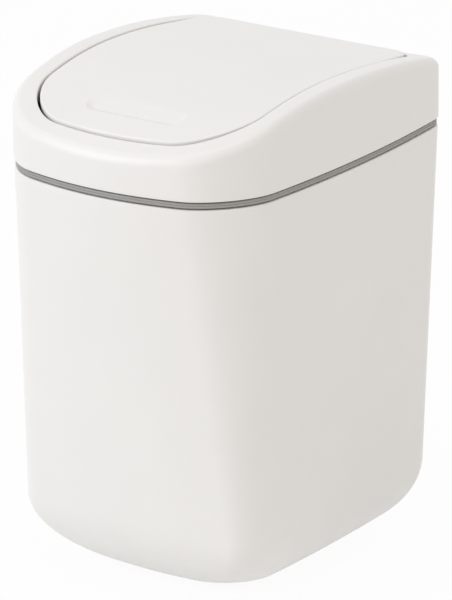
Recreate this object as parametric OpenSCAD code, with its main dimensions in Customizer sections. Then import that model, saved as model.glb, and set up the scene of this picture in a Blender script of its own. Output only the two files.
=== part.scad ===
// Countertop bin with a swing lid: a tapered body, a grey bag ring, a lid frame and a
// counterweighted flap that turns on two pins. The front faces -Y, and the origin is on the
// ground below the middle of the whole bin.

/* [Body] */
// Width at the seam, between the corners
body_w = 113.6; // [100:0.1:160]
// Depth at the seam, between the corners
body_d = 142; // [120:0.5:190]
// Height of the body's rim above the ground
seam_z = 168.7; // [130:0.1:220]
// How far the front bows out between its corners, at the seam
front_bow = 12.1; // [4:0.1:18]
// How far each side bows out at the seam
side_bow = 4.6; // [1:0.1:6]
// How far the rear bows out at the seam
rear_bow = 3.5; // [0:0.5:8]
// Share of the bows that is left at the foot
foot_bow = 0.3; // [0:0.05:1]
// Plan radius of the front corners at the seam
front_r = 21.8; // [20:0.1:34]
// Plan radius of the rear corners at the seam
rear_r = 8.6; // [8:0.1:20]
// How much each side is drawn in at the foot
side_taper = 1; // [0:0.1:6]
// How much the front and the rear are each drawn in at the foot
end_taper = 9.7; // [0:0.1:12]
// How much sharper the front corners are at the foot
front_sharpen = 14.2; // [0:0.1:15]
// How much rounder the rear corners are at the foot
rear_round = 2; // [0:0.5:6]
// Reach of the rounding between the walls and the base
base_reach = 41.5; // [20:0.5:44]
// Height of the rounding between the walls and the base
base_rise = 32.6; // [20:0.1:40]
// Thickness of the walls
wall = 2.4; // [1.8:0.1:3.2]
// Thickness of the floor
floor_t = 3; // [2:0.1:5]
// Width of the hollow under the base
hollow_w = 22; // [10:1:26]
// Depth of the hollow under the base, from front to rear
hollow_l = 34; // [10:1:40]
// Height of the hollow under the base
hollow_h = 1.2; // [0.5:0.1:1.6]
// Rounding of the edges that meet at the seam
edge_r = 0.6; // [0.3:0.1:1]

/* [Bag ring] */
// Height of the grey band that shows
band_h = 3.2; // [2:0.1:6]
// How far the band lies behind the body's face
band_inset = 0.4; // [0.2:0.05:1]
// Rounding of the band's edges
band_round = 0.3; // [0.1:0.1:1]
// Height of the shadow gaps above and below the band
groove_h = 0.5; // [0.2:0.1:0.8]
// How far these gaps reach in behind the body's face
groove_in = 1.4; // [0.8:0.1:1.5]
// Thickness of the ring's upright web
ring_web = 1.6; // [1.2:0.1:2.4]
// How far the web reaches down into the body
ring_skirt = 9; // [5:0.5:20]
// How far the web reaches up into the lid
ring_upstand = 6; // [3:0.5:8]
// Clearance round the web
ring_gap = 0.4; // [0.3:0.05:0.8]

/* [Lid frame] */
// Height of the crown of the lid above the seam
lid_h = 35.3; // [32:0.1:46]
// Where the crown lies, measured forward of the origin
crown_fwd = 0; // [-10:1:12]
// Radius of the arch in front of the crown
arch_front = 188; // [170:1:320]
// Radius of the arch behind the crown
arch_rear = 309; // [200:1:500]
// Wall thickness of the lid frame
lid_wall = 2.2; // [1.8:0.1:2.6]
// How far the lid's wall stands outside the body's rim
lid_out = 0.3; // [0:0.05:0.6]
// Height of the rounded shoulder
shoulder_h = 3.7; // [3:0.1:8]
// Height of the shoulder at the rear
shoulder_rear = 5.8; // [5:0.1:12]
// Share of the rim that is flat before the shoulder
rim_flat = 0.64; // [0.26:0.01:0.7]
// Width of the rim at the sides, halfway along them
rim_side = 9.6; // [9.6:0.1:13]
// Width of the rim in the middle of the front
rim_front = 8.7; // [7:0.1:12]
// Width of the rim in the middle of the rear
rim_rear = 13.9; // [10:0.1:20]
// How far the opening's front bows out
opening_bow = 6.6; // [2:0.1:12]
// Plan radius of the opening's front corners
opening_front_r = 23.9; // [14:0.1:24]
// Plan radius of the opening's rear corners
opening_rear_r = 8.6; // [6:0.1:12]
// Depth of the lip round the opening
lip_h = 6; // [4:0.1:7]
// Thickness of the lip
lip_t = 1.8; // [1.2:0.1:2]

/* [Flap] */
// Gap between the flap and the lip
flap_gap = 0.8; // [0.5:0.05:1.4]
// Thickness of the flap's panel
flap_t = 2.4; // [1.8:0.1:3]
// How far the flap lies below the rim at its sides and its rear
flap_sink = 0.9; // [0:0.1:1.4]
// How far the flap stands proud along its front edge
flap_proud = 1; // [0:0.1:2]
// How far behind its front edge the flap starts to rise to that
proud_reach = 37; // [20:1:50]
// How much rounder the flap's corners are than the opening's
flap_ease = 1; // [0:0.1:2]
// How far the flap opens, in degrees
flap_open = 65; // [50:1:70]
// Length of the finger dent
dent_w = 40; // [25:1:60]
// Reach of the finger dent from front to rear
dent_d = 11; // [8:0.5:16]
// Depth of the finger dent along its front edge
dent_h = 1.4; // [0.6:0.1:1.6]
// How far the dent lies behind the flap's front edge
dent_back = 11.6; // [8:0.2:20]

/* [Flap liner] */
// How far the tray's sides lie inside the brackets
liner_side = 5.8; // [5.6:0.1:10]
// How far the tray's front edge lies behind the opening's
liner_fwd = 16.3; // [14:0.1:28]
// How far the tray's rear edge lies in front of the opening's
liner_back = 13.5; // [12:0.1:24]
// Depth of the tray's base below the pivot
liner_drop = 6.7; // [6:0.1:10]
// Wall thickness of the tray
liner_wall = 1.8; // [1.2:0.1:2.4]
// Slant of the tray's lower front edge
liner_slant = 5; // [3:0.5:8]
// Radius of the posts that join the panel to the tray
liner_post_r = 3; // [2.6:0.1:4]
// How far these posts lie inside the tray's sides
post_side = 10.5; // [8:0.5:16]
// How far they lie inside its front and its rear edge
post_end = 22.5; // [16:0.5:28]
// Depth below the pivot at which the panel's posts meet the tray's
post_joint = 0.8; // [0:0.1:2]

/* [Pivots] */
// Depth of the pivot below the crown
pivot_drop = 11.5; // [11:0.1:14]
// Where the pivot lies, measured forward of the origin
pivot_fwd = 1; // [-6:0.5:10]
// Radius of the pins
pin_r = 2; // [1.5:0.1:2.5]
// Length of each pin
pin_l = 17.5; // [15:0.5:18]
// Running clearance between pin and bush
pin_play = 0.05; // [0.02:0.01:0.1]
// Wall thickness of the bushes
bush_wall = 1.2; // [0.8:0.1:1.6]
// Thickness of the bush's flange
bush_flange = 1.2; // [0.8:0.1:1.2]
// Wall thickness of the liner's bosses round the pins
boss_wall = 2.2; // [1.6:0.1:2.6]
// Thickness of the bracket plates
bracket_t = 2.8; // [2:0.1:3]
// Width of the plates round the bushes
plate_rim = 3.4; // [2.4:0.1:4]
// Length of the bracket's flange from front to rear
bracket_l = 30; // [28:1:40]
// Thickness of the bracket's flange
bracket_flange = 2.3; // [1.6:0.1:2.6]
// Radius of the posts that the brackets are screwed to
post_r = 2.6; // [2.2:0.1:3]
// Width of the brackets' stop tabs
tab_w = 5; // [4:0.1:7]
// Radius of the rubber bumpers
bumper_r = 1.9; // [1.4:0.1:1.9]
// Height of the bumpers that stop the open flap
bumper_h = 2.6; // [1.6:0.1:3.2]

/* [Counterweight] */
// Length of the steel bar
weight_w = 64; // [30:1:80]
// Depth of the steel bar from front to rear
weight_d = 9; // [5:0.5:12]
// Height of the steel bar
weight_h = 7; // [3:0.5:7.5]

/* [Feet and screws] */
// Radius of the foot pads
foot_r = 5; // [3:0.5:6]
// Thickness of the foot pads
foot_t = 1.6; // [1.2:0.1:2.4]
// How far the pads stand below the base
foot_proud = 0.6; // [0.3:0.1:1]
// Radius of the screws' shanks
screw_r = 1.2; // [0.9:0.1:1.3]
// Radius of the screws' heads
head_r = 2.2; // [1.8:0.1:2.3]
// Height of the screws' heads
head_h = 1.4; // [1:0.1:1.8]
// How far the liner's screws reach into the panel's posts
screw_grip = 5; // [3:0.5:6]

/* [Hidden] */
$fn = 48;

// Clearance of a part that is fitted and doesn't move, of a screw in its hole and of one that
// is seated
fit = 0.02;
hole_fit = 0.1;
seat = 0.3;
// How far a form sinks into another of the same part, so that they join
bite = 1;

// Segments of the outlines: each corner, and each stretch between two corners
front_corner_n = 8;
rear_corner_n = 5;
front_n = 6;
rear_n = 6;
side_n = 8;
// Segments of the base's rounding and of the lid's shoulder
base_n = 8;
shoulder_n = 5;
// Segments of the rounding of the band's edges
band_n = 2;
// Segments of the tray's arched edge
tray_n = 14;

// The base's rounding stops where it is nearly level
base_arc = 71;
// The plan radius of the front corners grows by this share of the rounding's own inset, and
// that of the rear corners shrinks by its share
front_spread = 0.65;
rear_spread = 0.6;
least_r = 2.5;

half_w = body_w / 2;
half_d = body_d / 2;
// The corners' middle lies this far behind the origin, because the front bows out more
mid_y = (front_bow - rear_bow) / 2;
band_top = seam_z + band_h;
crown_z = seam_z + lid_h;
crown_y = -crown_fwd;
web_in = wall + ring_gap;

opening_hw = half_w + side_bow - rim_side;
opening_front = half_d - mid_y + front_bow - rim_front - opening_bow;
opening_rear = half_d + mid_y + rear_bow - rim_rear;
pivot_y = -pivot_fwd;
pivot_z = crown_z - pivot_drop;
// The brackets' plates stand just outside the flap's edge
bracket_x = opening_hw - flap_gap + ring_gap;

// The tray's box
liner_w = 2 * (bracket_x - liner_side);
liner_front = liner_fwd - opening_front;
liner_rear = opening_rear - liner_back;
liner_z = pivot_z - liner_drop;

function lerp(a, b, t) = a + (b - a) * t;

// Points of a quarter circle from angle a, and between two corners
function corner(c, r, a, n) = [for (i = [0:n]) c + r * [cos(a + 90 * i / n), sin(a + 90 * i / n)]];
function between(a, b, n) = [for (i = [1:n - 1]) lerp(a, b, i / n)];

// Moves a point of a rounded rectangle outward, most in the middle of each side
function bowed(p, hw, mid, hd, bows) =
    let (u = p.x / hw, v = (p.y - mid) / hd)
    [p.x + bows[1] * (1 - v * v) * u, p.y + (v < 0 ? -bows[0] : bows[2]) * (1 - u * u) * abs(v)];

// Rounded rectangle with bowed sides, counter-clockwise from its rear right corner.
// bows holds the bow of the front, of each side and of the rear
function outline(hw, front, rear, fr, rr, bows) =
    let (
        raw = concat(
            corner([hw - rr, rear - rr], rr, 0, rear_corner_n),
            between([hw - rr, rear], [rr - hw, rear], rear_n),
            corner([rr - hw, rear - rr], rr, 90, rear_corner_n),
            between([-hw, rear - rr], [-hw, fr - front], side_n),
            corner([fr - hw, fr - front], fr, 180, front_corner_n),
            between([fr - hw, -front], [hw - fr, -front], front_n),
            corner([hw - fr, fr - front], fr, 270, front_corner_n),
            between([hw, fr - front], [hw, rear - rr], side_n)))
    [for (p = raw) bowed(p, hw, (rear - front) / 2, (rear + front) / 2, bows)];

// Outline of the body at a height, drawn in by an inset and by the base's rounding
function fallen(z) = (seam_z - z) / seam_z;
function front_corner_r(z, inset, round_in) =
    front_r + front_spread * round_in - front_sharpen * fallen(z) - inset;
function rear_corner_r(z, inset, round_in) =
    max(rear_r - rear_spread * round_in + rear_round * fallen(z) - inset, least_r);
function body_outline(z, inset = 0, round_in = 0) =
    let (
        hw = half_w - side_taper * fallen(z) - inset - round_in,
        hd = half_d - end_taper * fallen(z) - inset - round_in)
    outline(hw, hd - mid_y, hd + mid_y,
        min(front_corner_r(z, inset, round_in), hw - bite), rear_corner_r(z, inset, round_in),
        [front_bow, side_bow, rear_bow] * lerp(1, foot_bow, fallen(z)));

function at_height(points, z) = [for (p = points) [p.x, p.y, z]];

// Ring of the body's skin at a height, and at an angle round the base's rounding
function body_ring(z, inset = 0, round_in = 0) = at_height(body_outline(z, inset, round_in), z);
function base_ring(a, reach, rise, inset, low) =
    body_ring(low + rise * (1 - sin(a)), inset, reach * (1 - cos(a)));

// Height of the lid's arched top at a distance from the middle
function arch(r, y) = r - sqrt(r * r - y * y);
function top_z(y) = crown_z - arch(y < crown_y ? arch_front : arch_rear, y - crown_y);
// Height of the underside of the flap's panel
function under_flap(y) = top_z(y) - flap_sink - flap_t;

// Solid through a list of rings, each counter-clockwise seen from above. A tube's last ring
// joins its first; any other solid is closed by fans to the middles of its end rings
function mean(points) = [for (k = [0:2]) [for (p = points) p[k]] * [for (p = points) 1] / len(points)];
module loft(rings, tube = false) {
    n = len(rings[0]);
    m = len(rings);
    skin = [for (k = [0:m - (tube ? 1 : 2)], i = [0:n - 1])
        let (a = k * n + i, b = k * n + (i + 1) % n, up = ((k + 1) % m - k) * n)
        each [[a, a + up, b + up], [a, b + up, b]]];
    ends = tube ? [] : [for (i = [0:n - 1])
        let (j = (i + 1) % n)
        each [[i, j, n * m], [(m - 1) * n + j, (m - 1) * n + i, n * m + 1]]];
    middles = tube ? [] : [mean(rings[0]), mean(rings[m - 1])];
    polyhedron(concat([for (r = rings) each r], middles), concat(skin, ends), convexity = 8);
}

// ---- Body ----

// Heights at which the outer and the inner rounding of the base would end
base_low = foot_proud - base_rise * (1 - sin(base_arc));
floor_z = foot_proud + hollow_h + floor_t;
inner_reach = base_reach - wall;
inner_rise = base_rise - wall;
floor_low = floor_z - inner_rise * (1 - sin(base_arc));

// The flat of the base, and the pads on the diagonals of its corners
flat_in = base_reach * (1 - cos(base_arc));
flat_hw = half_w - side_taper - flat_in;
flat_hd = half_d - end_taper - flat_in;
flat_r = min(front_corner_r(foot_proud, 0, flat_in), flat_hw - bite);
foot_in = flat_r - (flat_r - foot_r - bite) * sqrt(0.5);

module at_feet() {
    for (x = [-1, 1], y = [-1, 1])
        translate([x * (flat_hw - foot_in), mid_y + y * (flat_hd - foot_in), 0]) children();
}

module body_shell() {
    turns = [for (i = [0:base_n]) base_arc * i / base_n];
    outer = [for (i = [base_n:-1:0]) base_ring(turns[i], base_reach, base_rise, 0, base_low)];
    inner = [for (t = turns) base_ring(t, inner_reach, inner_rise, wall, floor_low)];
    hollow_r = hollow_w / 4;
    hollow = outline(hollow_w / 2, hollow_l / 2 - mid_y, hollow_l / 2 + mid_y, hollow_r, hollow_r,
        [0, 0, 0]);
    color([0.96, 0.95, 0.94])
    difference() {
        loft(concat(
            [at_height(hollow, foot_proud + hollow_h), at_height(hollow, foot_proud)],
            outer,
            [body_ring(seam_z - edge_r), body_ring(seam_z, edge_r), body_ring(seam_z, wall)],
            inner));
        at_feet() cylinder(r = foot_r + hole_fit, h = foot_t);
    }
}

module foot_pads() {
    color([0.72, 0.72, 0.7])
    at_feet() cylinder(r = foot_r, h = foot_t);
}

// ---- Bag ring ----

// Ring of the band's face at a height, and at an angle round one of its edges
function band_ring(a, z) = at_height(body_outline(seam_z, band_inset + band_round * (1 - cos(a))), z);

module bag_ring() {
    web_out = web_in + ring_web;
    low = seam_z - ring_skirt;
    high = band_top + ring_upstand;
    top = body_outline(seam_z, web_in);
    groove = body_outline(seam_z, groove_in);
    face_low = seam_z + groove_h;
    face_high = band_top - groove_h;
    turns = [for (i = [0:band_n]) 90 * i / band_n];
    color([0.6, 0.6, 0.59])
    loft(concat(
        [body_ring(low, web_in), at_height(top, seam_z)],
        [at_height(groove, seam_z), at_height(groove, face_low)],
        [for (i = [band_n:-1:0]) band_ring(turns[i], face_low + band_round * (1 - sin(turns[i])))],
        [for (t = turns) band_ring(t, face_high - band_round * (1 - sin(t)))],
        [at_height(groove, face_high), at_height(groove, band_top)],
        [at_height(top, band_top), at_height(top, high), at_height(body_outline(seam_z, web_out), high),
        at_height(body_outline(seam_z, web_out), seam_z), body_ring(low, web_out)]), tube = true);
}

// ---- Lid frame ----

// The opening's outline. Its front corners are rounder by the ease
function opening_outline(gap = 0, ease = 0) =
    outline(opening_hw - gap - side_bow / 2, opening_front - gap, opening_rear - gap,
        opening_front_r - gap + ease, opening_rear_r - gap + ease, [opening_bow, side_bow / 2, 0]);

// 0 along the front and the sides of the opening, and rises to 1 round its rear corners
function rearward(o) = pow(max(0, (o.y - opening_rear) / opening_rear_r + 1), 4);

// Point of the lid's skin between the opening's edge and the wall. The turn, in degrees, runs
// round the shoulder, and drop is the skin's depth below the top
function skin_point(o, w, turn, drop) =
    let (
        p = lerp(lerp(o, w, rim_flat), w, sin(turn)),
        high = lerp(shoulder_h, shoulder_rear, rearward(o)))
    [p.x, p.y, top_z(p.y) - drop - (high - drop) * (1 - cos(turn))];
function outward(o, w, far) = o + (w - o) / norm(w - o) * far;
function under_top(p, drop) = [p.x, p.y, top_z(p.y) - drop];

module lid_frame() {
    edge = opening_outline();
    outer = body_outline(seam_z, -lid_out);
    inner = body_outline(seam_z, lid_wall - lid_out);
    n = [0:len(edge) - 1];
    turns = [for (k = [0:shoulder_n]) 90 * k / shoulder_n];
    color([0.96, 0.95, 0.94])
    union() {
        loft(concat(
            [at_height(body_outline(seam_z, edge_r), band_top), at_height(outer, band_top + edge_r)],
            [for (k = [shoulder_n:-1:0]) [for (i = n) skin_point(edge[i], outer[i], turns[k], 0)]],
            [[for (i = n) under_top(outward(edge[i], outer[i], edge_r), 0)]],
            [[for (i = n) under_top(edge[i], edge_r)]],
            [[for (i = n) under_top(edge[i], lip_h)]],
            [[for (i = n) under_top(outward(edge[i], outer[i], lip_t), lip_h)]],
            [[for (i = n) under_top(outward(edge[i], outer[i], lip_t), lid_wall)]],
            [for (t = turns) [for (i = n) skin_point(edge[i], inner[i], t, lid_wall)]],
            [at_height(inner, band_top)]), tube = true);
        at_bracket_screws() difference() {
            cylinder(r = post_r, h = post_h);
            translate([0, 0, -bite]) cylinder(r = screw_r + fit, h = screw_depth + bite);
        }
    }
}

// ---- Hinge brackets ----

bracket_screw_y = bracket_l / 2 - post_r - bite;
post_x = bracket_x + bracket_t + post_r / 2;
// The flange lies below the lip, and the frame's posts reach down to it
function lower_top(reach) = min(top_z(pivot_y - reach), top_z(pivot_y + reach));
flange_top = lower_top(bracket_l / 2) - lip_h - seat;
post_h = lower_top(bracket_screw_y) - lid_wall + bite - flange_top;
screw_depth = post_h - bite;
bush_r = pin_r + pin_play + bush_wall;
plate_r = bush_r + plate_rim;
// The panel's edge overhangs the tray, and the bumpers stand below that overhang
bumper_x = (liner_w / 2 + bracket_x) / 2;
closing_y = bracket_l / 2 - tab_w / 2 - bite;
// The opening stop, in the frame of the open flap: forward of the pivot and above it
stop_fwd = plate_r + tab_w + bite;
stop_top = under_flap(pivot_y - stop_fwd) - seat - pivot_z;
tab_in = bracket_x - bumper_x + bumper_r;

module at_bracket_screws() {
    for (side = [-1, 1], y = [-bracket_screw_y, bracket_screw_y])
        translate([side * post_x, pivot_y + y, flange_top]) children();
}

// Turns a part drawn for the right side into one for either side
module on_side(side) {
    mirror([side < 0 ? 1 : 0, 0, 0]) children();
}

module at_pivot() {
    translate([0, pivot_y, pivot_z]) children();
}

module along_x(x) {
    translate([x, 0, 0]) rotate([0, 90, 0]) children();
}

// Block with its lower front inner corner at a point
module block(at, size) {
    translate(at) cube(size);
}

module hinge_bracket(side) {
    flange_w = post_x + post_r - bracket_x;
    flange_low = flange_top - bracket_flange;
    stop_low = stop_top - bumper_h - bracket_flange;
    color([0.9, 0.89, 0.88])
    on_side(side) difference() {
        union() {
            block([bracket_x, pivot_y - bracket_l / 2, flange_low], [flange_w, bracket_l, bracket_flange]);
            block([bracket_x, pivot_y - plate_r, pivot_z], [bracket_t, plate_r * 2, flange_top - pivot_z]);
            at_pivot() along_x(bracket_x) cylinder(r = plate_r, h = bracket_t);
            // Tab of the closing stop
            block([bracket_x - tab_in, pivot_y + closing_y - tab_w / 2, flange_low],
                [tab_in + bite, tab_w, bracket_flange]);
            // Arm and tab of the opening stop, set at the angle of the open flap
            at_pivot() rotate([flap_open, 0, 0]) {
                block([bracket_x, -stop_fwd - tab_w / 2, stop_low - plate_r / 2],
                    [bracket_t, stop_fwd + tab_w / 2, plate_r / 2 + bracket_flange]);
                block([bracket_x - tab_in, -stop_fwd - tab_w / 2, stop_low],
                    [tab_in + bite, tab_w, bracket_flange]);
            }
        }
        at_pivot() along_x(bracket_x - bite) cylinder(r = bush_r + fit, h = bracket_t + 2 * bite);
        // The round of the plate ends at the flange
        block([bracket_x - bite, pivot_y - plate_r - bite, flange_top],
            [bracket_t + 2 * bite, (plate_r + bite) * 2, plate_r]);
        for (y = [-bracket_screw_y, bracket_screw_y])
            translate([post_x, pivot_y + y, flange_low - bite])
                cylinder(r = screw_r + hole_fit, h = bracket_flange + 2 * bite);
    }
}

module hinge_bracket_left() {
    hinge_bracket(-1);
}

module hinge_bracket_right() {
    hinge_bracket(1);
}

// Screw with its head below z = 0 and its shank above, and a cross recess in the head
module screw(length) {
    slot_w = head_r / 4;
    slot_l = head_r * 1.2;
    slot_h = head_h / 2;
    difference() {
        translate([0, 0, -head_h]) cylinder(r = head_r, h = head_h);
        for (a = [0, 90])
            rotate([0, 0, a])
                block([-slot_l / 2, -slot_w / 2, -head_h - bite], [slot_l, slot_w, slot_h + bite]);
    }
    cylinder(r = screw_r, h = length);
}

module bracket_screws() {
    color([0.75, 0.76, 0.77])
    at_bracket_screws() translate([0, 0, -bracket_flange]) screw(bracket_flange + screw_depth - seat);
}

// ---- Bushes, pins and bumpers ----

module pivot_bush(side) {
    color([0.82, 0.82, 0.8])
    on_side(side) at_pivot() difference() {
        union() {
            along_x(bracket_x - bush_flange) cylinder(r = bush_r + bush_wall, h = bush_flange);
            along_x(bracket_x) cylinder(r = bush_r, h = bracket_t + seat);
        }
        along_x(bracket_x - bush_flange - bite)
            cylinder(r = pin_r + pin_play, h = bush_flange + bracket_t + 2 * bite + seat);
    }
}

module pivot_bush_left() {
    pivot_bush(-1);
}

module pivot_bush_right() {
    pivot_bush(1);
}

// The pins reach a little past the bushes
pin_end = bracket_x + bracket_t + pin_r / 2;

module pivot_pin(side) {
    chamfer = pin_r / 5;
    color([0.78, 0.79, 0.8])
    on_side(side) at_pivot() along_x(pin_end - pin_l) rotate_extrude() polygon([
        [0, 0], [pin_r - chamfer, 0], [pin_r, chamfer], [pin_r, pin_l - chamfer],
        [pin_r - chamfer, pin_l], [0, pin_l]]);
}

module pivot_pin_left() {
    pivot_pin(-1);
}

module pivot_pin_right() {
    pivot_pin(1);
}

module closing_bumpers() {
    y = pivot_y + closing_y;
    color([0.3, 0.3, 0.3])
    for (side = [-1, 1])
        translate([side * bumper_x, y, flange_top])
            cylinder(r = bumper_r, h = under_flap(y + bumper_r) - seat - flange_top);
}

module opening_bumpers() {
    color([0.3, 0.3, 0.3])
    for (side = [-1, 1])
        at_pivot() rotate([flap_open, 0, 0])
            translate([side * bumper_x, -stop_fwd, stop_top - bumper_h])
                cylinder(r = bumper_r, h = bumper_h - seat);
}

// ---- Flap ----

// Rings of the panel, as shares of the way from its middle to its edge
panel_shares = [0.2, 0.4, 0.6, 0.78, 0.92];
flap_front = opening_front + opening_bow - flap_gap;
joint_z = pivot_z - post_joint;
liner_screw_x = liner_w / 2 - post_side;
liner_screw_y = [liner_front + post_end, liner_rear - post_end];
dent_y = dent_back - flap_front;

// Height of the flap's top, which rises above the rim towards its front edge
function flap_z(y) =
    top_z(y) - flap_sink
        + (flap_sink + flap_proud) * pow(max(0, (proud_reach - flap_front - y) / proud_reach), 2);

// Ring of the panel at a share of the way to its edge and a depth below its top
function panel_ring(edge, share, drop) =
    [for (e = edge) let (p = lerp([0, pivot_y], e, share)) [p.x, p.y, flap_z(p.y) - drop]];

module at_liner_screws(z) {
    for (x = [-liner_screw_x, liner_screw_x], y = liner_screw_y)
        translate([x, y, z]) children();
}

module flap_panel() {
    edge = opening_outline(flap_gap, flap_ease);
    shrunk = opening_outline(flap_gap + edge_r, flap_ease);
    hold_low = weight_z + weight_h + seat;
    color([0.97, 0.96, 0.95])
    difference() {
        union() {
            loft(concat(
                [for (s = panel_shares) panel_ring(edge, s, flap_t)],
                [panel_ring(shrunk, 1, flap_t)],
                [panel_ring(edge, 1, flap_t - edge_r)],
                [panel_ring(edge, 1, edge_r)],
                [panel_ring(shrunk, 1, 0)],
                [for (k = [len(panel_shares) - 1:-1:0]) panel_ring(edge, panel_shares[k], 0)]));
            for (x = [-liner_screw_x, liner_screw_x], y = liner_screw_y)
                translate([x, y, joint_z])
                    cylinder(r = liner_post_r, h = under_flap(y) + bite - joint_z);
            // Posts that hold the counterweight down
            for (x = [-weight_w / 3, weight_w / 3])
                translate([x, weight_y, hold_low])
                    cylinder(r = liner_post_r, h = under_flap(weight_y) + bite - hold_low);
        }
        at_liner_screws(joint_z - bite) cylinder(r = screw_r + fit, h = screw_grip + 2 * bite);
        // The dent's floor falls from the surface at its rear to its full depth at its front
        translate([0, dent_y, flap_z(dent_y) - dent_h]) rotate([dent_tilt, 0, 0])
            linear_extrude(height = dent_h * 3) dent_shape();
    }
}

// Tilt of the dent's floor: that of the panel there, and the dent's own fall
dent_tilt = atan((flap_z(dent_y + dent_d) - flap_z(dent_y) + dent_h) / dent_d);

module dent_shape() {
    r = dent_d / 2;
    translate([r - dent_w / 2, 0]) square([dent_w - dent_d, dent_d]);
    for (x = [r - dent_w / 2, dent_w / 2 - r])
        translate([x, r]) circle(r = r);
}

// ---- Flap liner ----

boss_r = pin_r + boss_wall;
boss_in = pin_end - pin_l - bite;
boss_out = bracket_x - bush_flange - seat;

// Side view of the tray, drawn in by its wall thickness
function tray(inset) =
    let (a = liner_front + inset, b = liner_rear - inset, low = liner_z + inset)
    concat([[b, low]],
        [for (i = [0:tray_n]) let (y = lerp(b, a, i / tray_n)) [y, under_flap(y) - seat + inset]],
        [[a, low + liner_slant], [a + liner_slant * 3, low]]);

module tray_solid(inset) {
    w = liner_w - 2 * inset;
    translate([-w / 2, 0, 0]) rotate([90, 0, 90]) linear_extrude(height = w) polygon(tray(inset));
}

module flap_liner() {
    color([0.93, 0.92, 0.91])
    difference() {
        union() {
            difference() {
                tray_solid(0);
                tray_solid(liner_wall);
            }
            for (side = [-1, 1])
                on_side(side) at_pivot() along_x(boss_in) cylinder(r = boss_r, h = boss_out - boss_in);
            at_liner_screws(liner_z) cylinder(r = liner_post_r, h = joint_z - liner_z);
            // Rib in front of the counterweight
            block([-weight_w / 2, weight_y - weight_d / 2 - seat - liner_wall, liner_z],
                [weight_w, liner_wall, liner_wall + weight_h / 2]);
        }
        at_pivot() along_x(-half_w) cylinder(r = pin_r + fit, h = body_w);
        at_liner_screws(liner_z - bite) {
            cylinder(r = head_r + 2 * hole_fit, h = head_h + fit + bite);
            cylinder(r = screw_r + hole_fit, h = joint_z - liner_z + 2 * bite);
        }
    }
}

module liner_screws() {
    color([0.75, 0.76, 0.77])
    at_liner_screws(liner_z + head_h + fit) screw(joint_z - liner_z - head_h + screw_grip);
}

// ---- Counterweight ----

weight_z = liner_z + liner_wall;
weight_y = liner_rear - liner_wall - seat - weight_d / 2;

module counterweight() {
    color([0.55, 0.56, 0.58])
    block([-weight_w / 2, weight_y - weight_d / 2, weight_z], [weight_w, weight_d, weight_h]);
}

body_shell();
foot_pads();
bag_ring();
lid_frame();
hinge_bracket_left();
hinge_bracket_right();
bracket_screws();
pivot_bush_left();
pivot_bush_right();
closing_bumpers();
opening_bumpers();
flap_panel();
flap_liner();
pivot_pin_left();
pivot_pin_right();
counterweight();
liner_screws();
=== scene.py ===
"""Looks of the countertop bin with a swing lid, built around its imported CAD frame.

The body, the bag ring, the lid frame and the flap's panel are rebuilt as smooth skins from
the sizes of the part's source. A few sizes, in a group of their own, follow the photograph
more closely than the solids do. The other CAD nodes keep their shape. Every surface has a
procedural material. Sizes below are in millimetres and become metres in the mesh.
"""

import math

import bpy
import numpy as np
from mathutils import Euler, Matrix, Vector


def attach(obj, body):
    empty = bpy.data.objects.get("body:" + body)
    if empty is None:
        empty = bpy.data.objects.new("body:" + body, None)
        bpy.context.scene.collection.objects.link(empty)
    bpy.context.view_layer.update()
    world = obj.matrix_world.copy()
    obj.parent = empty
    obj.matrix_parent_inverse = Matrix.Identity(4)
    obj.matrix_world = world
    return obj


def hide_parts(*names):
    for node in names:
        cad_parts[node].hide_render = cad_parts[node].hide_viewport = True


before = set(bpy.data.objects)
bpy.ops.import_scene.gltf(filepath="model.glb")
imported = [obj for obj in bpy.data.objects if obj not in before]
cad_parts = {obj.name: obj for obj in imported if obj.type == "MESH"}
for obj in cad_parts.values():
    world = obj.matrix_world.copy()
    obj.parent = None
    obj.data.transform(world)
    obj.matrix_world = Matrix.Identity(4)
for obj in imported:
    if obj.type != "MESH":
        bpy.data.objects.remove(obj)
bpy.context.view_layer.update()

MM = 0.001

# ---- Sizes of the part, in mm ----
BODY_W, BODY_D, SEAM_Z = 113.6, 142.0, 168.7
FRONT_BOW, SIDE_BOW, REAR_BOW, FOOT_BOW = 12.1, 4.6, 3.5, 0.3
FRONT_R, REAR_R = 21.8, 8.6
SIDE_TAPER, END_TAPER = 1.0, 9.7
FRONT_SHARPEN, REAR_ROUND = 14.2, 2.0
BASE_REACH, BASE_RISE, BASE_ARC = 41.5, 32.6, 71.0
FRONT_SPREAD, REAR_SPREAD, LEAST_R = 0.65, 0.6, 2.5
WALL, FLOOR_T, RIM_ROUND = 2.4, 3.0, 0.3
HOLLOW_W, HOLLOW_L, HOLLOW_H = 22.0, 34.0, 1.2
FOOT_PROUD = 0.6
EDGE_R = 0.6

BAND_H, BAND_INSET, BAND_ROUND = 3.2, 0.4, 0.3
RING_WEB, RING_SKIRT, RING_UPSTAND, RING_GAP = 1.6, 9.0, 6.0, 0.4

LID_H, CROWN_Y = 35.3, 0.0
ARCH_FRONT, ARCH_REAR = 188.0, 309.0
LID_WALL, LID_OUT = 2.2, 0.3
SHOULDER_H, SHOULDER_REAR, RIM_FLAT = 3.7, 5.8, 0.64
RIM_SIDE, RIM_FRONT, RIM_REAR = 9.6, 8.7, 13.9
OPENING_BOW, OPENING_FRONT_R, OPENING_REAR_R = 6.6, 23.9, 8.6
LIP_H, LIP_T, LIP_ROUND = 6.0, 1.8, 0.2

FLAP_GAP, FLAP_T, FLAP_EASE = 0.8, 2.4, 1.0
FLAP_SINK, FLAP_PROUD, PROUD_REACH = 0.9, 1.0, 37.0
PIVOT_DROP, PIVOT_Y = 11.5, -1.0

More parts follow.
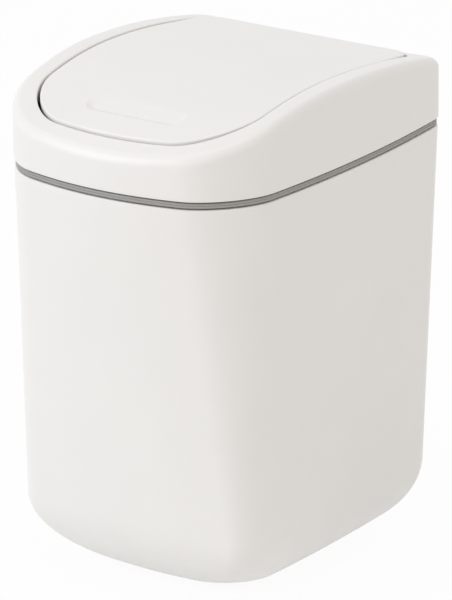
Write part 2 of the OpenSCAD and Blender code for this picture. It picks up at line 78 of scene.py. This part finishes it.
BRACKET_L, BRACKET_T, POST_R, LINER_POST_R, SCREW_R, SCREW_GRIP = 30.0, 2.8, 2.6, 3.0, 1.2, 5.0
LINER_SIDE, LINER_FWD, LINER_BACK, LINER_DROP, LINER_WALL = 5.8, 16.3, 13.5, 6.7, 1.8
POST_SIDE, POST_END, POST_JOINT = 10.5, 22.5, 0.8
WEIGHT_W, WEIGHT_D, WEIGHT_H = 64.0, 9.0, 7.0
FIT, SEAT, BITE = 0.02, 0.3, 1.0

# The smooth skins lie this far inside the faceted ones' box
TRIM = 0.06

# ---- Sizes that follow the photograph more closely than the solids do, in mm ----
# The flap is nearly level with the rim at its sides and proud of it at its rear, which hides
# the rear rim. Its underside stays where the solid has it, so the skin is a little thicker
SKIN_SINK, REAR_PROUD, REAR_PROUD_REACH = 0.35, 1.1, 30.0
OPENING_ROUND, OPENING_FRONT_ROUND, FLAP_ROUND = 1.5, 0.5, 0.5
# The top rises towards its two rear corners, from these distances to the side and the rear on
CORNER_RISE, RISE_FROM_X, RISE_FROM_Y, RISE_REACH = 0.4, 15.0, 20.0, 45.0
DENT_W, DENT_D, DENT_H, DENT_BACK = 45.0, 11.0, 1.5, 11.6
DENT_SLOPE, DENT_EDGE = 3.0, 0.3
# Shadow gaps above and below the grey band
GROOVE_H, GROOVE_IN = 0.62, 2.3
# Fine line along the band: its height as a share of the band's, then inset and height round it
LINE_AT = 0.53
LINE_PROFILE = ((0, -0.17), (0.06, -0.11), (0.18, 0), (0.06, 0.11), (0, 0.17))

# ---- Sizes that follow from these ----
HALF_W, HALF_D = BODY_W / 2, BODY_D / 2
MID_Y = (FRONT_BOW - REAR_BOW) / 2
BAND_TOP = SEAM_Z + BAND_H
CROWN_Z = SEAM_Z + LID_H
BAND_TOP_ROUND = BAND_ROUND * 1.6
WEB_IN = WALL + RING_GAP
OPENING_HW = HALF_W + SIDE_BOW - RIM_SIDE
OPENING_FRONT = HALF_D - MID_Y + FRONT_BOW - RIM_FRONT - OPENING_BOW
OPENING_REAR = HALF_D + MID_Y + REAR_BOW - RIM_REAR
FLAP_FRONT = OPENING_FRONT + OPENING_BOW - FLAP_GAP
FLAP_REAR = OPENING_REAR - FLAP_GAP
BRACKET_X = OPENING_HW - FLAP_GAP + RING_GAP
PIVOT_Z = CROWN_Z - PIVOT_DROP

# Segments of each corner, and of the front, a side and the rear between them
CORNER_N, FRONT_N, SIDE_N, REAR_N = 20, 24, 30, 20
# Edges sharper than this stay sharp in the shading
SHARP_DEG = 40


def arc(cx, cy, r, start, n=CORNER_N):
    t = np.radians(start + 90 * np.arange(n + 1) / n)
    return np.column_stack([cx + r * np.cos(t), cy + r * np.sin(t)])


def between(a, b, n):
    t = (np.arange(1, n) / n)[:, None]
    return np.array(a) + (np.array(b) - np.array(a)) * t


def outline(hw, front, rear, fr, rr, bows):
    """Rounded rectangle with bowed sides, counter-clockwise from its rear right corner."""
    p = np.vstack([
        arc(hw - rr, rear - rr, rr, 0),
        between((hw - rr, rear), (rr - hw, rear), REAR_N),
        arc(rr - hw, rear - rr, rr, 90),
        between((-hw, rear - rr), (-hw, fr - front), SIDE_N),
        arc(fr - hw, fr - front, fr, 180),
        between((fr - hw, -front), (hw - fr, -front), FRONT_N),
        arc(hw - fr, fr - front, fr, 270),
        between((hw, fr - front), (hw, rear - rr), SIDE_N),
    ])
    mid, half = (rear - front) / 2, (rear + front) / 2
    u, v = p[:, 0] / hw, (p[:, 1] - mid) / half
    x = p[:, 0] + bows[1] * (1 - v * v) * u
    y = p[:, 1] + np.where(v < 0, -bows[0], bows[2]) * (1 - u * u) * np.abs(v)
    return np.column_stack([x, y])


def fallen(z):
    return (SEAM_Z - z) / SEAM_Z


def body_outline(z, inset=0.0, round_in=0.0):
    """Outline of the body at a height, drawn in by an inset and by the base's rounding."""
    inset = inset + TRIM
    k = fallen(z)
    hw = HALF_W - SIDE_TAPER * k - inset - round_in
    hd = HALF_D - END_TAPER * k - inset - round_in
    fr = min(FRONT_R + FRONT_SPREAD * round_in - FRONT_SHARPEN * k - inset, hw - 1)
    rr = max(REAR_R - REAR_SPREAD * round_in + REAR_ROUND * k - inset, LEAST_R)
    bow = 1 + (FOOT_BOW - 1) * k
    return outline(hw, hd - MID_Y, hd + MID_Y, fr, rr,
                   (FRONT_BOW * bow, SIDE_BOW * bow, REAR_BOW * bow))


def at(points, z):
    z = np.broadcast_to(np.asarray(z, float), (len(points),))
    return np.column_stack([points, z])


def body_ring(z, inset=0.0, round_in=0.0):
    return at(body_outline(z, inset, round_in), z)


def top_z(y):
    y = np.asarray(y, float) - CROWN_Y
    r = np.where(y < 0, ARCH_FRONT, ARCH_REAR)
    return CROWN_Z - TRIM - (r - np.sqrt(r * r - y * y))


def under_flap(y):
    return float(top_z(y)) - FLAP_SINK - FLAP_T


# ---- Meshes ----

def make(name, verts, faces):
    mesh = bpy.data.meshes.new(name)
    mesh.from_pydata([tuple(v) for v in np.asarray(verts) * MM], [], faces)
    mesh.validate()
    mesh.update()
    mesh.polygons.foreach_set("use_smooth", [True] * len(mesh.polygons))
    mesh.set_sharp_from_angle(angle=math.radians(SHARP_DEG))
    obj = bpy.data.objects.new(name, mesh)
    bpy.context.scene.collection.objects.link(obj)
    return obj


def loft_faces(rows, n, tube, first=0):
    """Quads between rings of n points. A tube's last ring joins its first."""
    faces = []
    for k in range(rows if tube else rows - 1):
        a, b = first + k * n, first + (k + 1) % rows * n
        for i in range(n):
            j = (i + 1) % n
            faces.append((a + i, a + j, b + j, b + i))
    return faces


def fan(first, n, middle, flip):
    """Triangles that close a ring with a point in its middle."""
    faces = []
    for i in range(n):
        j = (i + 1) % n
        faces.append((first + j, first + i, middle) if flip else (first + i, first + j, middle))
    return faces


def joined(parts):
    """Verts and faces of several parts as one."""
    verts, faces, base = [], [], 0
    for v, f in parts:
        verts.append(v)
        faces += [tuple(i + base for i in face) for face in f]
        base += len(v)
    return np.vstack(verts), faces


def solid(rings, tube=False):
    """Verts and faces of a loft through rings. A loft that isn't a tube is closed at its ends."""
    n, m = len(rings[0]), len(rings)
    faces = loft_faces(m, n, tube)
    verts = np.vstack(rings)
    if not tube:
        verts = np.vstack([verts, rings[0].mean(0), rings[-1].mean(0)])
        faces += fan(0, n, m * n, True) + fan((m - 1) * n, n, m * n + 1, False)
    return verts, faces


def post(cx, cy, low, high, r, bore=0.0, depth=0.0, n=32):
    """A round post from low to high, with a bore of that depth from below, as verts and faces."""
    t = np.radians(360 * np.arange(n) / n)

    def ring(rad, z):
        return at(np.column_stack([cx + rad * np.cos(t), cy + rad * np.sin(t)]), z)

    foot = [ring(bore, low + depth), ring(bore, low)] if bore else [ring(r / 2, low)]
    return solid(foot + [ring(r, low), ring(r, high)])


def quarter(n=5):
    """Shares (in, up) of a quarter round, from (0, 0) to (1, 1)."""
    t = np.radians(90 * np.arange(n + 1) / n)
    return list(zip(1 - np.cos(t), np.sin(t)))


# ---- Body ----

def base_ring(a, reach, rise, inset, low):
    """A ring of the base's rounding, at an angle of 0 at its top and 90 at its foot."""
    a = math.radians(a)
    return body_ring(low + rise * (1 - math.sin(a)), inset, reach * (1 - math.cos(a)))


def shell():
    low = FOOT_PROUD - BASE_RISE * (1 - math.sin(math.radians(BASE_ARC)))
    floor_z = FOOT_PROUD + HOLLOW_H + FLOOR_T
    reach, rise = BASE_REACH - WALL, BASE_RISE - WALL
    floor_low = floor_z - rise * (1 - math.sin(math.radians(BASE_ARC)))
    turns = [BASE_ARC * i / 28 for i in range(29)]
    hollow = outline(HOLLOW_W / 2, HOLLOW_L / 2 - MID_Y, HOLLOW_L / 2 + MID_Y,
                     HOLLOW_W / 4, HOLLOW_W / 4, (0, 0, 0))
    edge = base_ring(BASE_ARC, BASE_REACH, BASE_RISE, 0, low)
    middle = np.array([0, MID_Y, FOOT_PROUD])
    rings = [at(hollow, FOOT_PROUD + HOLLOW_H), at(hollow, FOOT_PROUD)]
    rings += [edge + (middle - edge) * 0.03]
    rings += [base_ring(t, BASE_REACH, BASE_RISE, 0, low) for t in reversed(turns)]
    rings += [body_ring(z) for z in np.linspace(BASE_RISE + 6, SEAM_Z - EDGE_R, 14)]
    rings += [body_ring(SEAM_Z - EDGE_R + EDGE_R * u, EDGE_R * i) for i, u in quarter()[1:]]
    rings += [body_ring(SEAM_Z, WALL - RIM_ROUND)]
    rings += [body_ring(SEAM_Z - RIM_ROUND + RIM_ROUND * u, WALL - RIM_ROUND * i)
              for i, u in reversed(quarter(3)[:-1])]
    rings += [body_ring(z, WALL) for z in np.linspace(SEAM_Z - 8, floor_low + rise + 6, 8)]
    rings += [base_ring(t, reach, rise, WALL, floor_low) for t in turns]
    inner = rings[-1]
    rings += [inner + (inner.mean(0) - inner) * k for k in (0.04, 0.5)]
    return solid(rings)


# ---- Bag ring ----

def ring_band():
    out = WEB_IN + RING_WEB
    low, high = SEAM_Z - RING_SKIRT, BAND_TOP + RING_UPSTAND
    # Profile of the band's face, as inset and height: two stripes with a fine line between them
    line = SEAM_Z + BAND_H * LINE_AT
    face = [(GROOVE_IN, SEAM_Z), (GROOVE_IN, SEAM_Z + GROOVE_H)]
    face += [(BAND_INSET + BAND_ROUND * i, SEAM_Z + GROOVE_H + BAND_ROUND * (1 - u))
             for i, u in reversed(quarter(5))]
    face += [(BAND_INSET + inset, line + up) for inset, up in LINE_PROFILE]
    face += [(BAND_INSET + BAND_TOP_ROUND * i, BAND_TOP - GROOVE_H - BAND_TOP_ROUND * (1 - u))
             for i, u in quarter(6)]
    face += [(GROOVE_IN, BAND_TOP - GROOVE_H), (GROOVE_IN, BAND_TOP)]

    def straight(inset, z):
        return at(body_outline(SEAM_Z, inset), z)

    rings = [body_ring(low, WEB_IN), body_ring(SEAM_Z - RIM_ROUND, WEB_IN),
             straight(WEB_IN, SEAM_Z)]
    rings += [straight(inset, z) for inset, z in face]
    rings += [straight(WEB_IN, BAND_TOP), straight(WEB_IN, high), straight(out, high),
              straight(out, SEAM_Z), body_ring(low, out)]
    return solid(rings, tube=True)


# ---- Lid frame ----

def opening_outline(gap=0.0, ease=0.0):
    return outline(OPENING_HW - gap - SIDE_BOW / 2, OPENING_FRONT - gap, OPENING_REAR - gap,
                   OPENING_FRONT_R - gap + ease, OPENING_REAR_R - gap + ease,
                   (OPENING_BOW, SIDE_BOW / 2, 0))


def corner_rise(p):
    """How far the top rises towards its two rear corners."""
    aside = np.clip((np.abs(p[:, 0]) - RISE_FROM_X) / RISE_REACH, 0, 1)
    behind = np.clip((p[:, 1] - RISE_FROM_Y) / RISE_REACH, 0, 1)
    return CORNER_RISE * aside ** 2 * behind ** 2


def frame_rings():
    """Rings round the frame's section: up its wall, over the shoulder, round the lip and back."""
    edge = opening_outline()
    outer = body_outline(SEAM_Z, -LID_OUT)
    inner = body_outline(SEAM_Z, LID_WALL - LID_OUT)
    rearward = np.maximum(0, (edge[:, 1] - OPENING_REAR) / OPENING_REAR_R + 1)[:, None] ** 8
    high = (SHOULDER_H + (SHOULDER_REAR - SHOULDER_H) * rearward)[:, 0]
    turns = [90 * k / 24 for k in range(25)]

    # The rim's flat share falls to what the edge's rounding needs at the rear, and that
    # rounding falls towards the front
    away = outer - edge
    across = np.linalg.norm(away, axis=1)[:, None]
    flat = np.maximum(RIM_FLAT * (1 - rearward), (OPENING_ROUND + LIP_ROUND) / across)
    behind = np.clip((edge[:, 1] - OPENING_FRONT) / (OPENING_FRONT_R * 0.8), 0, 1)
    edge_round = OPENING_FRONT_ROUND + (OPENING_ROUND - OPENING_FRONT_ROUND) * behind

    def skin(w, turn, drop):
        start = edge + (w - edge) * flat
        p = start + (w - start) * math.sin(math.radians(turn))
        fall = (high - drop) * (1 - math.cos(math.radians(turn)))
        return at(p, top_z(p[:, 1]) + corner_rise(p) - drop - fall)

    def outward(far):
        return edge + away / across * np.reshape(far, (-1, 1))

    def under(p, drop):
        return at(p, top_z(p[:, 1]) + corner_rise(p) - drop)

    rings = [at(inner, BAND_TOP), at(body_outline(SEAM_Z, EDGE_R - LID_OUT), BAND_TOP)]
    rings += [at(body_outline(SEAM_Z, EDGE_R * i - LID_OUT), BAND_TOP + EDGE_R * (1 - u))
              for i, u in reversed(quarter(5)[:-1])]
    foot = BAND_TOP + EDGE_R
    head = skin(outer, 90, 0)[:, 2]
    rings += [at(outer, foot + (head - foot) * t) for t in np.linspace(0, 1, 8)[1:-1]]
    rings += [skin(outer, t, 0) for t in reversed(turns)]
    rings += [under(outward(edge_round * (1 - math.sin(a))), edge_round * (1 - math.cos(a)))
              for a in np.radians(np.linspace(0, 90, 9))]
    rings += [under(edge, LIP_H - LIP_ROUND), under(outward(LIP_ROUND), LIP_H),
              under(outward(LIP_T), LIP_H), under(outward(LIP_T), LID_WALL)]
    rings += [skin(inner, t, LID_WALL) for t in turns[::3]]
    return rings


def frame_posts():
    """The posts that the hinge brackets are screwed to."""

    def lower(reach):
        return min(float(top_z(PIVOT_Y - reach)), float(top_z(PIVOT_Y + reach)))

    screw_y = BRACKET_L / 2 - POST_R - BITE
    low = lower(BRACKET_L / 2) - LIP_H - SEAT
    high = lower(screw_y) - LID_WALL + BITE
    x = BRACKET_X + BRACKET_T + POST_R / 2
    return [post(side * x, PIVOT_Y + y, low, high, POST_R, SCREW_R + FIT, high - low - BITE)
            for side in (-1, 1) for y in (-screw_y, screw_y)]


# ---- Flap ----

def front_rise(y):
    return np.maximum(0, (PROUD_REACH - FLAP_FRONT - y) / PROUD_REACH) ** 2


def flap_z(p):
    """Height of the flap's top, which stands proud of the rim at its front and its rear."""
    y = p[:, 1]
    rear_rise = np.maximum(0, (y - FLAP_REAR + REAR_PROUD_REACH) / REAR_PROUD_REACH) ** 2
    return (top_z(y) - SKIN_SINK + (SKIN_SINK + FLAP_PROUD) * front_rise(y)
            + (SKIN_SINK + REAR_PROUD) * rear_rise + corner_rise(p))


def panel_under(p):
    y = p[:, 1]
    return top_z(y) - FLAP_SINK + (FLAP_SINK + FLAP_PROUD) * front_rise(y) - FLAP_T


def ray_hits(centre, angles, curve):
    """Where rays from a point inside a closed curve meet it."""
    d = curve - centre
    a = np.unwrap(np.arctan2(d[:, 1], d[:, 0]))
    turn = 2 * math.pi
    a = np.concatenate([a, [a[0] + turn]])
    d = np.vstack([d, d[:1]])
    out = []
    for t in angles:
        t = a[0] + (t - a[0]) % turn
        k = min(int(np.searchsorted(a, t, side="right")) - 1, len(a) - 2)
        p, q = d[k], d[k + 1]
        e = np.array([math.cos(t), math.sin(t)])
        s = (p[0] * e[1] - p[1] * e[0]) / ((p[0] - q[0]) * e[1] - (p[1] - q[1]) * e[0])
        out.append(centre + p + (q - p) * s)
    return np.array(out)


def panel():
    """The panel's rings, from the dent's middle out to the edge and back under it."""
    dent_y = DENT_BACK - FLAP_FRONT
    r = DENT_D / 2
    centre = np.array([0, dent_y + r])
    t = np.radians(np.linspace(0, 180, 41))
    straight = np.linspace(-1, 1, 61)[1:-1] * (DENT_W / 2 - r)

    def stadium(out):
        """The dent's outline, drawn outward."""
        left = np.column_stack([r - DENT_W / 2 - (r + out) * np.sin(t), (r + out) * np.cos(t)])
        right = np.column_stack([DENT_W / 2 - r + (r + out) * np.sin(t), -(r + out) * np.cos(t)])
        rear = np.column_stack([straight[::-1], np.full(len(straight), r + out)])
        front = np.column_stack([straight, np.full(len(straight), -r - out)])
        return centre + np.vstack([right, rear, left, front])

    edge = opening_outline(FLAP_GAP, FLAP_EASE)

    def angles(curve):
        d = curve - centre
        return np.arctan2(d[:, 1], d[:, 0]) % (2 * math.pi)

    a = np.sort(np.concatenate([angles(stadium(0)), angles(edge)]))
    a = a[np.concatenate([[True], np.diff(a) > 1e-4])]
    turns = np.radians(np.linspace(0, 90, 6))
    shrunk = [ray_hits(centre, a, opening_outline(FLAP_GAP + FLAP_ROUND * s, FLAP_EASE))
              for s in 1 - np.sin(turns)]

    def depth(p):
        return DENT_H * np.clip(1 - (p[:, 1] - dent_y) / DENT_D, 0, 1)

    def eased(s, ends=0.2):
        """From 0 to 1 in a straight line that rounds over in its first and last fifth."""
        k = 1 / (1 - ends)
        if s < ends:
            return k * s * s / (2 * ends)
        if s > 1 - ends:
            return 1 - k * (1 - s) ** 2 / (2 * ends)
        return k * (s - ends / 2)

    # The dent's wall is a slope that rounds over at its top and at its foot
    rings = []
    foot = ray_hits(centre, a, stadium(-DENT_SLOPE))
    for s in (0.25, 0.5, 0.75, 0.9):
        p = centre + (foot - centre) * s
        rings.append(at(p, flap_z(p) - depth(p)))
    for s in np.linspace(0, 1, 13):
        p = ray_hits(centre, a, stadium(DENT_EDGE * s - DENT_SLOPE * (1 - s)))
        rings.append(at(p, flap_z(p) - depth(p) * (1 - eased(s))))
    start = ray_hits(centre, a, stadium(DENT_EDGE))
    for s in np.linspace(0, 1, 44)[1:-1] ** 1.5:
        p = start + (shrunk[0] - start) * s
        rings.append(at(p, flap_z(p)))
    for p, c in zip(shrunk, 1 - np.cos(turns)):
        rings.append(at(p, flap_z(p) - FLAP_ROUND * c))
    for p, c in zip(reversed(shrunk), 1 - np.cos(turns)[::-1]):
        rings.append(at(p, panel_under(p) + FLAP_ROUND * c))
    for s in np.linspace(1, 0, 16)[1:-1]:
        p = centre + (shrunk[0] - centre) * s
        rings.append(at(p, panel_under(p)))
    return solid(rings[::-1])


def panel_posts():
    """The posts that join the panel to its liner and hold the counterweight down."""
    x = BRACKET_X - LINER_SIDE - POST_SIDE
    rear = OPENING_REAR - LINER_BACK
    joint = PIVOT_Z - POST_JOINT
    posts = [post(side * x, y, joint, under_flap(y) + BITE, LINER_POST_R, SCREW_R + FIT,
                  SCREW_GRIP + BITE)
             for side in (-1, 1) for y in (LINER_FWD - OPENING_FRONT + POST_END, rear - POST_END)]
    y = rear - LINER_WALL - SEAT - WEIGHT_D / 2
    low = PIVOT_Z - LINER_DROP + LINER_WALL + WEIGHT_H + SEAT
    return posts + [post(side * WEIGHT_W / 3, y, low, under_flap(y) + BITE, LINER_POST_R)
                    for side in (-1, 1)]


# ---- Materials ----

PLASTIC_IOR = 1.46


def srgb(v):
    """Linear value of an sRGB share."""
    return v / 12.92 if v <= 0.04045 else ((v + 0.055) / 1.055) ** 2.4


class Nodes:
    """A few short calls for building a material's nodes."""

    def __init__(self, name):
        self.mat = bpy.data.materials.new(name)
        self.mat.use_nodes = True
        self.tree = self.mat.node_tree
        self.bsdf = self.tree.nodes["Principled BSDF"]
        self.coord = self.add("ShaderNodeTexCoord").outputs["Object"]

    def add(self, kind, **sets):
        node = self.tree.nodes.new(kind)
        for k, v in sets.items():
            setattr(node, k, v)
        return node

    def link(self, a, b):
        self.tree.links.new(a, b)

    def noise(self, scale, detail=2.0, rough=0.5, stretch=(1, 1, 1)):
        mapping = self.add("ShaderNodeMapping")
        mapping.inputs["Scale"].default_value = stretch
        self.link(self.coord, mapping.inputs["Vector"])
        node = self.add("ShaderNodeTexNoise")
        node.inputs["Scale"].default_value = scale
        node.inputs["Detail"].default_value = detail
        node.inputs["Roughness"].default_value = rough
        self.link(mapping.outputs["Vector"], node.inputs["Vector"])
        return node.outputs["Fac"]

    def ramp(self, fac, low, high, a=0.3, b=0.7):
        node = self.add("ShaderNodeValToRGB")
        node.color_ramp.elements[0].position = a
        node.color_ramp.elements[1].position = b
        node.color_ramp.elements[0].color = (*low, 1)
        node.color_ramp.elements[1].color = (*high, 1)
        self.link(fac, node.inputs["Fac"])
        return node.outputs["Color"]

    def spread(self, fac, low, high):
        node = self.add("ShaderNodeMapRange")
        node.inputs["From Min"].default_value = 0.3
        node.inputs["From Max"].default_value = 0.7
        node.inputs["To Min"].default_value = low
        node.inputs["To Max"].default_value = high
        self.link(fac, node.inputs["Value"])
        return node.outputs["Result"]

    def bump(self, height, distance, strength=1.0, under=None):
        node = self.add("ShaderNodeBump")
        node.inputs["Strength"].default_value = strength
        node.inputs["Distance"].default_value = distance
        self.link(height, node.inputs["Height"])
        if under is not None:
            self.link(under, node.inputs["Normal"])
        return node.outputs["Normal"]


def plastic(name, rgb, rough, tint=0.012):
    """Moulded plastic: a broad faint drift in its tone, and a fine spark-eroded grain."""
    n = Nodes(name)
    base = [srgb(c) for c in rgb]
    broad = n.noise(22, 3)
    colour = n.ramp(broad, [c * (1 - tint) for c in base], [min(1, c * (1 + tint)) for c in base])
    n.link(colour, n.bsdf.inputs["Base Color"])
    fine = n.noise(900, 3, 0.6)
    n.link(n.spread(n.noise(140, 3), rough - 0.03, rough + 0.03), n.bsdf.inputs["Roughness"])
    soft = n.bump(n.noise(60, 2), 1.2e-5, 0.6)
    n.link(n.bump(fine, 2e-6, 1.0, soft), n.bsdf.inputs["Normal"])
    n.bsdf.inputs["IOR"].default_value = PLASTIC_IOR
    return n.mat


def rubber(name, rgb, rough=0.75):
    n = Nodes(name)
    base = [srgb(c) for c in rgb]
    colour = n.ramp(n.noise(300, 4), [c * 0.85 for c in base], [c * 1.12 for c in base])
    n.link(colour, n.bsdf.inputs["Base Color"])
    n.link(n.spread(n.noise(900, 3), rough - 0.08, rough + 0.08), n.bsdf.inputs["Roughness"])
    n.link(n.bump(n.noise(1600, 3), 8e-6), n.bsdf.inputs["Normal"])
    return n.mat


def metal(name, rgb, rough, stretch=(1, 1, 1)):
    """Steel with fine tool marks that run one way."""
    n = Nodes(name)
    base = [srgb(c) for c in rgb]
    marks = n.noise(1200, 4, 0.6, stretch)
    colour = n.ramp(n.noise(180, 3), [c * 0.93 for c in base], [min(1, c * 1.05) for c in base])
    n.link(colour, n.bsdf.inputs["Base Color"])
    n.link(n.spread(marks, rough - 0.07, rough + 0.09), n.bsdf.inputs["Roughness"])
    n.link(n.bump(marks, 3e-6), n.bsdf.inputs["Normal"])
    n.bsdf.inputs["Metallic"].default_value = 1.0
    return n.mat


WHITE = plastic("satin_white_plastic", (0.955, 0.949, 0.940), 0.32)
GREY = plastic("satin_grey_plastic", (0.65, 0.645, 0.632), 0.55, tint=0.02)
INNER = plastic("inner_white_plastic", (0.88, 0.88, 0.87), 0.5, tint=0.02)
BUSH = plastic("smooth_bush_plastic", (0.8, 0.8, 0.78), 0.3, tint=0.03)
PAD = rubber("grey_pad_rubber", (0.6, 0.6, 0.58), 0.6)
BUMPER = rubber("dark_bumper_rubber", (0.2, 0.2, 0.2))
STEEL = metal("zinc_plated_steel", (0.72, 0.72, 0.73), 0.32)
PIN = metal("drawn_steel", (0.72, 0.72, 0.73), 0.25, (0.08, 1, 1))
BAR = metal("plain_bar_steel", (0.5, 0.51, 0.53), 0.42, (0.06, 1, 1))


def dress(name, parts, body, node, material):
    """A skin in place of a CAD node, on that node's body."""
    verts, faces = parts
    obj = make(name, verts, faces)
    obj.data.materials.append(material)
    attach(obj, body)
    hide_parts(node)


dress("tapered_body", shell(), "bin", "body_shell", WHITE)
dress("grey_bag_ring", ring_band(), "ring", "bag_ring", GREY)
dress("rounded_lid_frame", joined([solid(frame_rings(), tube=True)] + frame_posts()),
      "lid", "lid_frame", WHITE)
dress("arched_flap", joined([panel()] + panel_posts()), "flap", "flap_panel", WHITE)

CARRIED = {
    "foot_pads": PAD,
    "hinge_bracket_left": INNER, "hinge_bracket_right": INNER,
    "bracket_screws": STEEL, "liner_screws": STEEL,
    "pivot_bush_left": BUSH, "pivot_bush_right": BUSH,
    "closing_bumpers": BUMPER, "opening_bumpers": BUMPER,
    "flap_liner": INNER,
    "pivot_pin_left": PIN, "pivot_pin_right": PIN,
    "counterweight": BAR,
}
for node, material in CARRIED.items():
    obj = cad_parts[node]
    obj.data.materials.clear()
    obj.data.materials.append(material)

# ---- Floor, background and light ----

bpy.context.scene.view_settings.view_transform = "Standard"


def seen_white(tree):
    """1 for rays from the camera, also by way of gloss and glass, and 0 for light's own."""
    def either(a, b):
        node = tree.nodes.new("ShaderNodeMath")
        node.operation = "ADD"
        node.use_clamp = True
        tree.links.new(a, node.inputs[0])
        tree.links.new(b, node.inputs[1])
        return node.outputs[0]

    ray = tree.nodes.new("ShaderNodeLightPath").outputs
    return either(ray["Is Camera Ray"],
                  either(ray["Is Glossy Ray"], ray["Is Transmission Ray"]))


world = bpy.data.worlds.new("studio")
bpy.context.scene.world = world
world.use_nodes = True
wt = world.node_tree
soft = wt.nodes["Background"]
soft.inputs["Color"].default_value = (0.975, 0.99, 0.955, 1)
soft.inputs["Strength"].default_value = 0.65
plain = wt.nodes.new("ShaderNodeBackground")
plain.inputs["Color"].default_value = (1, 1, 1, 1)
plain.inputs["Strength"].default_value = 1.0
mix = wt.nodes.new("ShaderNodeMixShader")
wt.links.new(seen_white(wt), mix.inputs["Fac"])
wt.links.new(soft.outputs["Background"], mix.inputs[1])
wt.links.new(plain.outputs["Background"], mix.inputs[2])
wt.links.new(mix.outputs["Shader"], wt.nodes["World Output"].inputs["Surface"])

GLOW_SHARE, FLOOR_REACH = 0.95, 4

floor_mat = bpy.data.materials.new("pale_floor")
floor_mat.use_nodes = True
ft = floor_mat.node_tree
fb = ft.nodes["Principled BSDF"]
fb.inputs["Base Color"].default_value = (0.9, 0.9, 0.895, 1)
fb.inputs["Roughness"].default_value = 0.9
glow = ft.nodes.new("ShaderNodeEmission")
glow.inputs["Color"].default_value = (1, 1, 1, 1)
glow.inputs["Strength"].default_value = 1.0
# The rest of what the floor shows is its own shading, which keeps the bin's shadow
share = ft.nodes.new("ShaderNodeMath")
share.operation = "MULTIPLY"
share.inputs[1].default_value = GLOW_SHARE
fmix = ft.nodes.new("ShaderNodeMixShader")
ft.links.new(seen_white(ft), share.inputs[0])
ft.links.new(share.outputs[0], fmix.inputs["Fac"])
ft.links.new(fb.outputs["BSDF"], fmix.inputs[1])
ft.links.new(glow.outputs["Emission"], fmix.inputs[2])
ft.links.new(fmix.outputs["Shader"], ft.nodes["Material Output"].inputs["Surface"])

floor_mesh = bpy.data.meshes.new("floor")
floor_mesh.from_pydata([(x * FLOOR_REACH, y * FLOOR_REACH, 0)
                        for x, y in ((-1, -1), (1, -1), (1, 1), (-1, 1))], [], [(0, 1, 2, 3)])
floor = bpy.data.objects.new("floor", floor_mesh)
bpy.context.scene.collection.objects.link(floor)
floor.data.materials.append(floor_mat)


def area_light(name, place, power, colour=(1, 1, 1), target=(0, 0, 0.12), size=(1.3, 1.3)):
    """A lamp in metres and watts that is aimed at the bin."""
    data = bpy.data.lights.new(name, "AREA")
    data.shape = "RECTANGLE"
    data.size, data.size_y = size
    data.energy = power
    data.color = colour
    obj = bpy.data.objects.new(name, data)
    bpy.context.scene.collection.objects.link(obj)
    obj.location = place
    obj.rotation_euler = (Vector(target) - Vector(place)).to_track_quat("-Z", "Y").to_euler()


area_light("key", (-1.2, -1.7, 1.15), 15.5, (0.95, 0.945, 1))
area_light("top", (0.1, -0.2, 2.4), 6.0, (0.92, 0.89, 1))
area_light("side", (1.9, -0.8, 1.2), 3.5, (1, 0.65, 0.6))
area_light("strip", (-0.95, -0.2, 1.6), 0.5, target=(0, -0.03, 0.2), size=(0.12, 1.0))

# ---- Camera ----

SENSOR_MM, FOCAL_PX, IMAGE_PX = 36.0, 5629.04, 600
AZIMUTH, ELEVATION, ROLL = (math.radians(v) for v in (35.67, 18.98, -0.65))

cam = bpy.data.cameras.new("camera")
cam.sensor_width = SENSOR_MM
cam.lens = FOCAL_PX * SENSOR_MM / IMAGE_PX
cam_obj = bpy.data.objects.new("camera", cam)
bpy.context.scene.collection.objects.link(cam_obj)
bpy.context.scene.camera = cam_obj
cam_obj.location = (1.222208, -1.697749, 0.824541)
upright = Euler((math.pi / 2 - ELEVATION, 0, AZIMUTH)).to_matrix()
cam_obj.rotation_euler = (upright @ Matrix.Rotation(ROLL, 3, "Z")).to_euler()
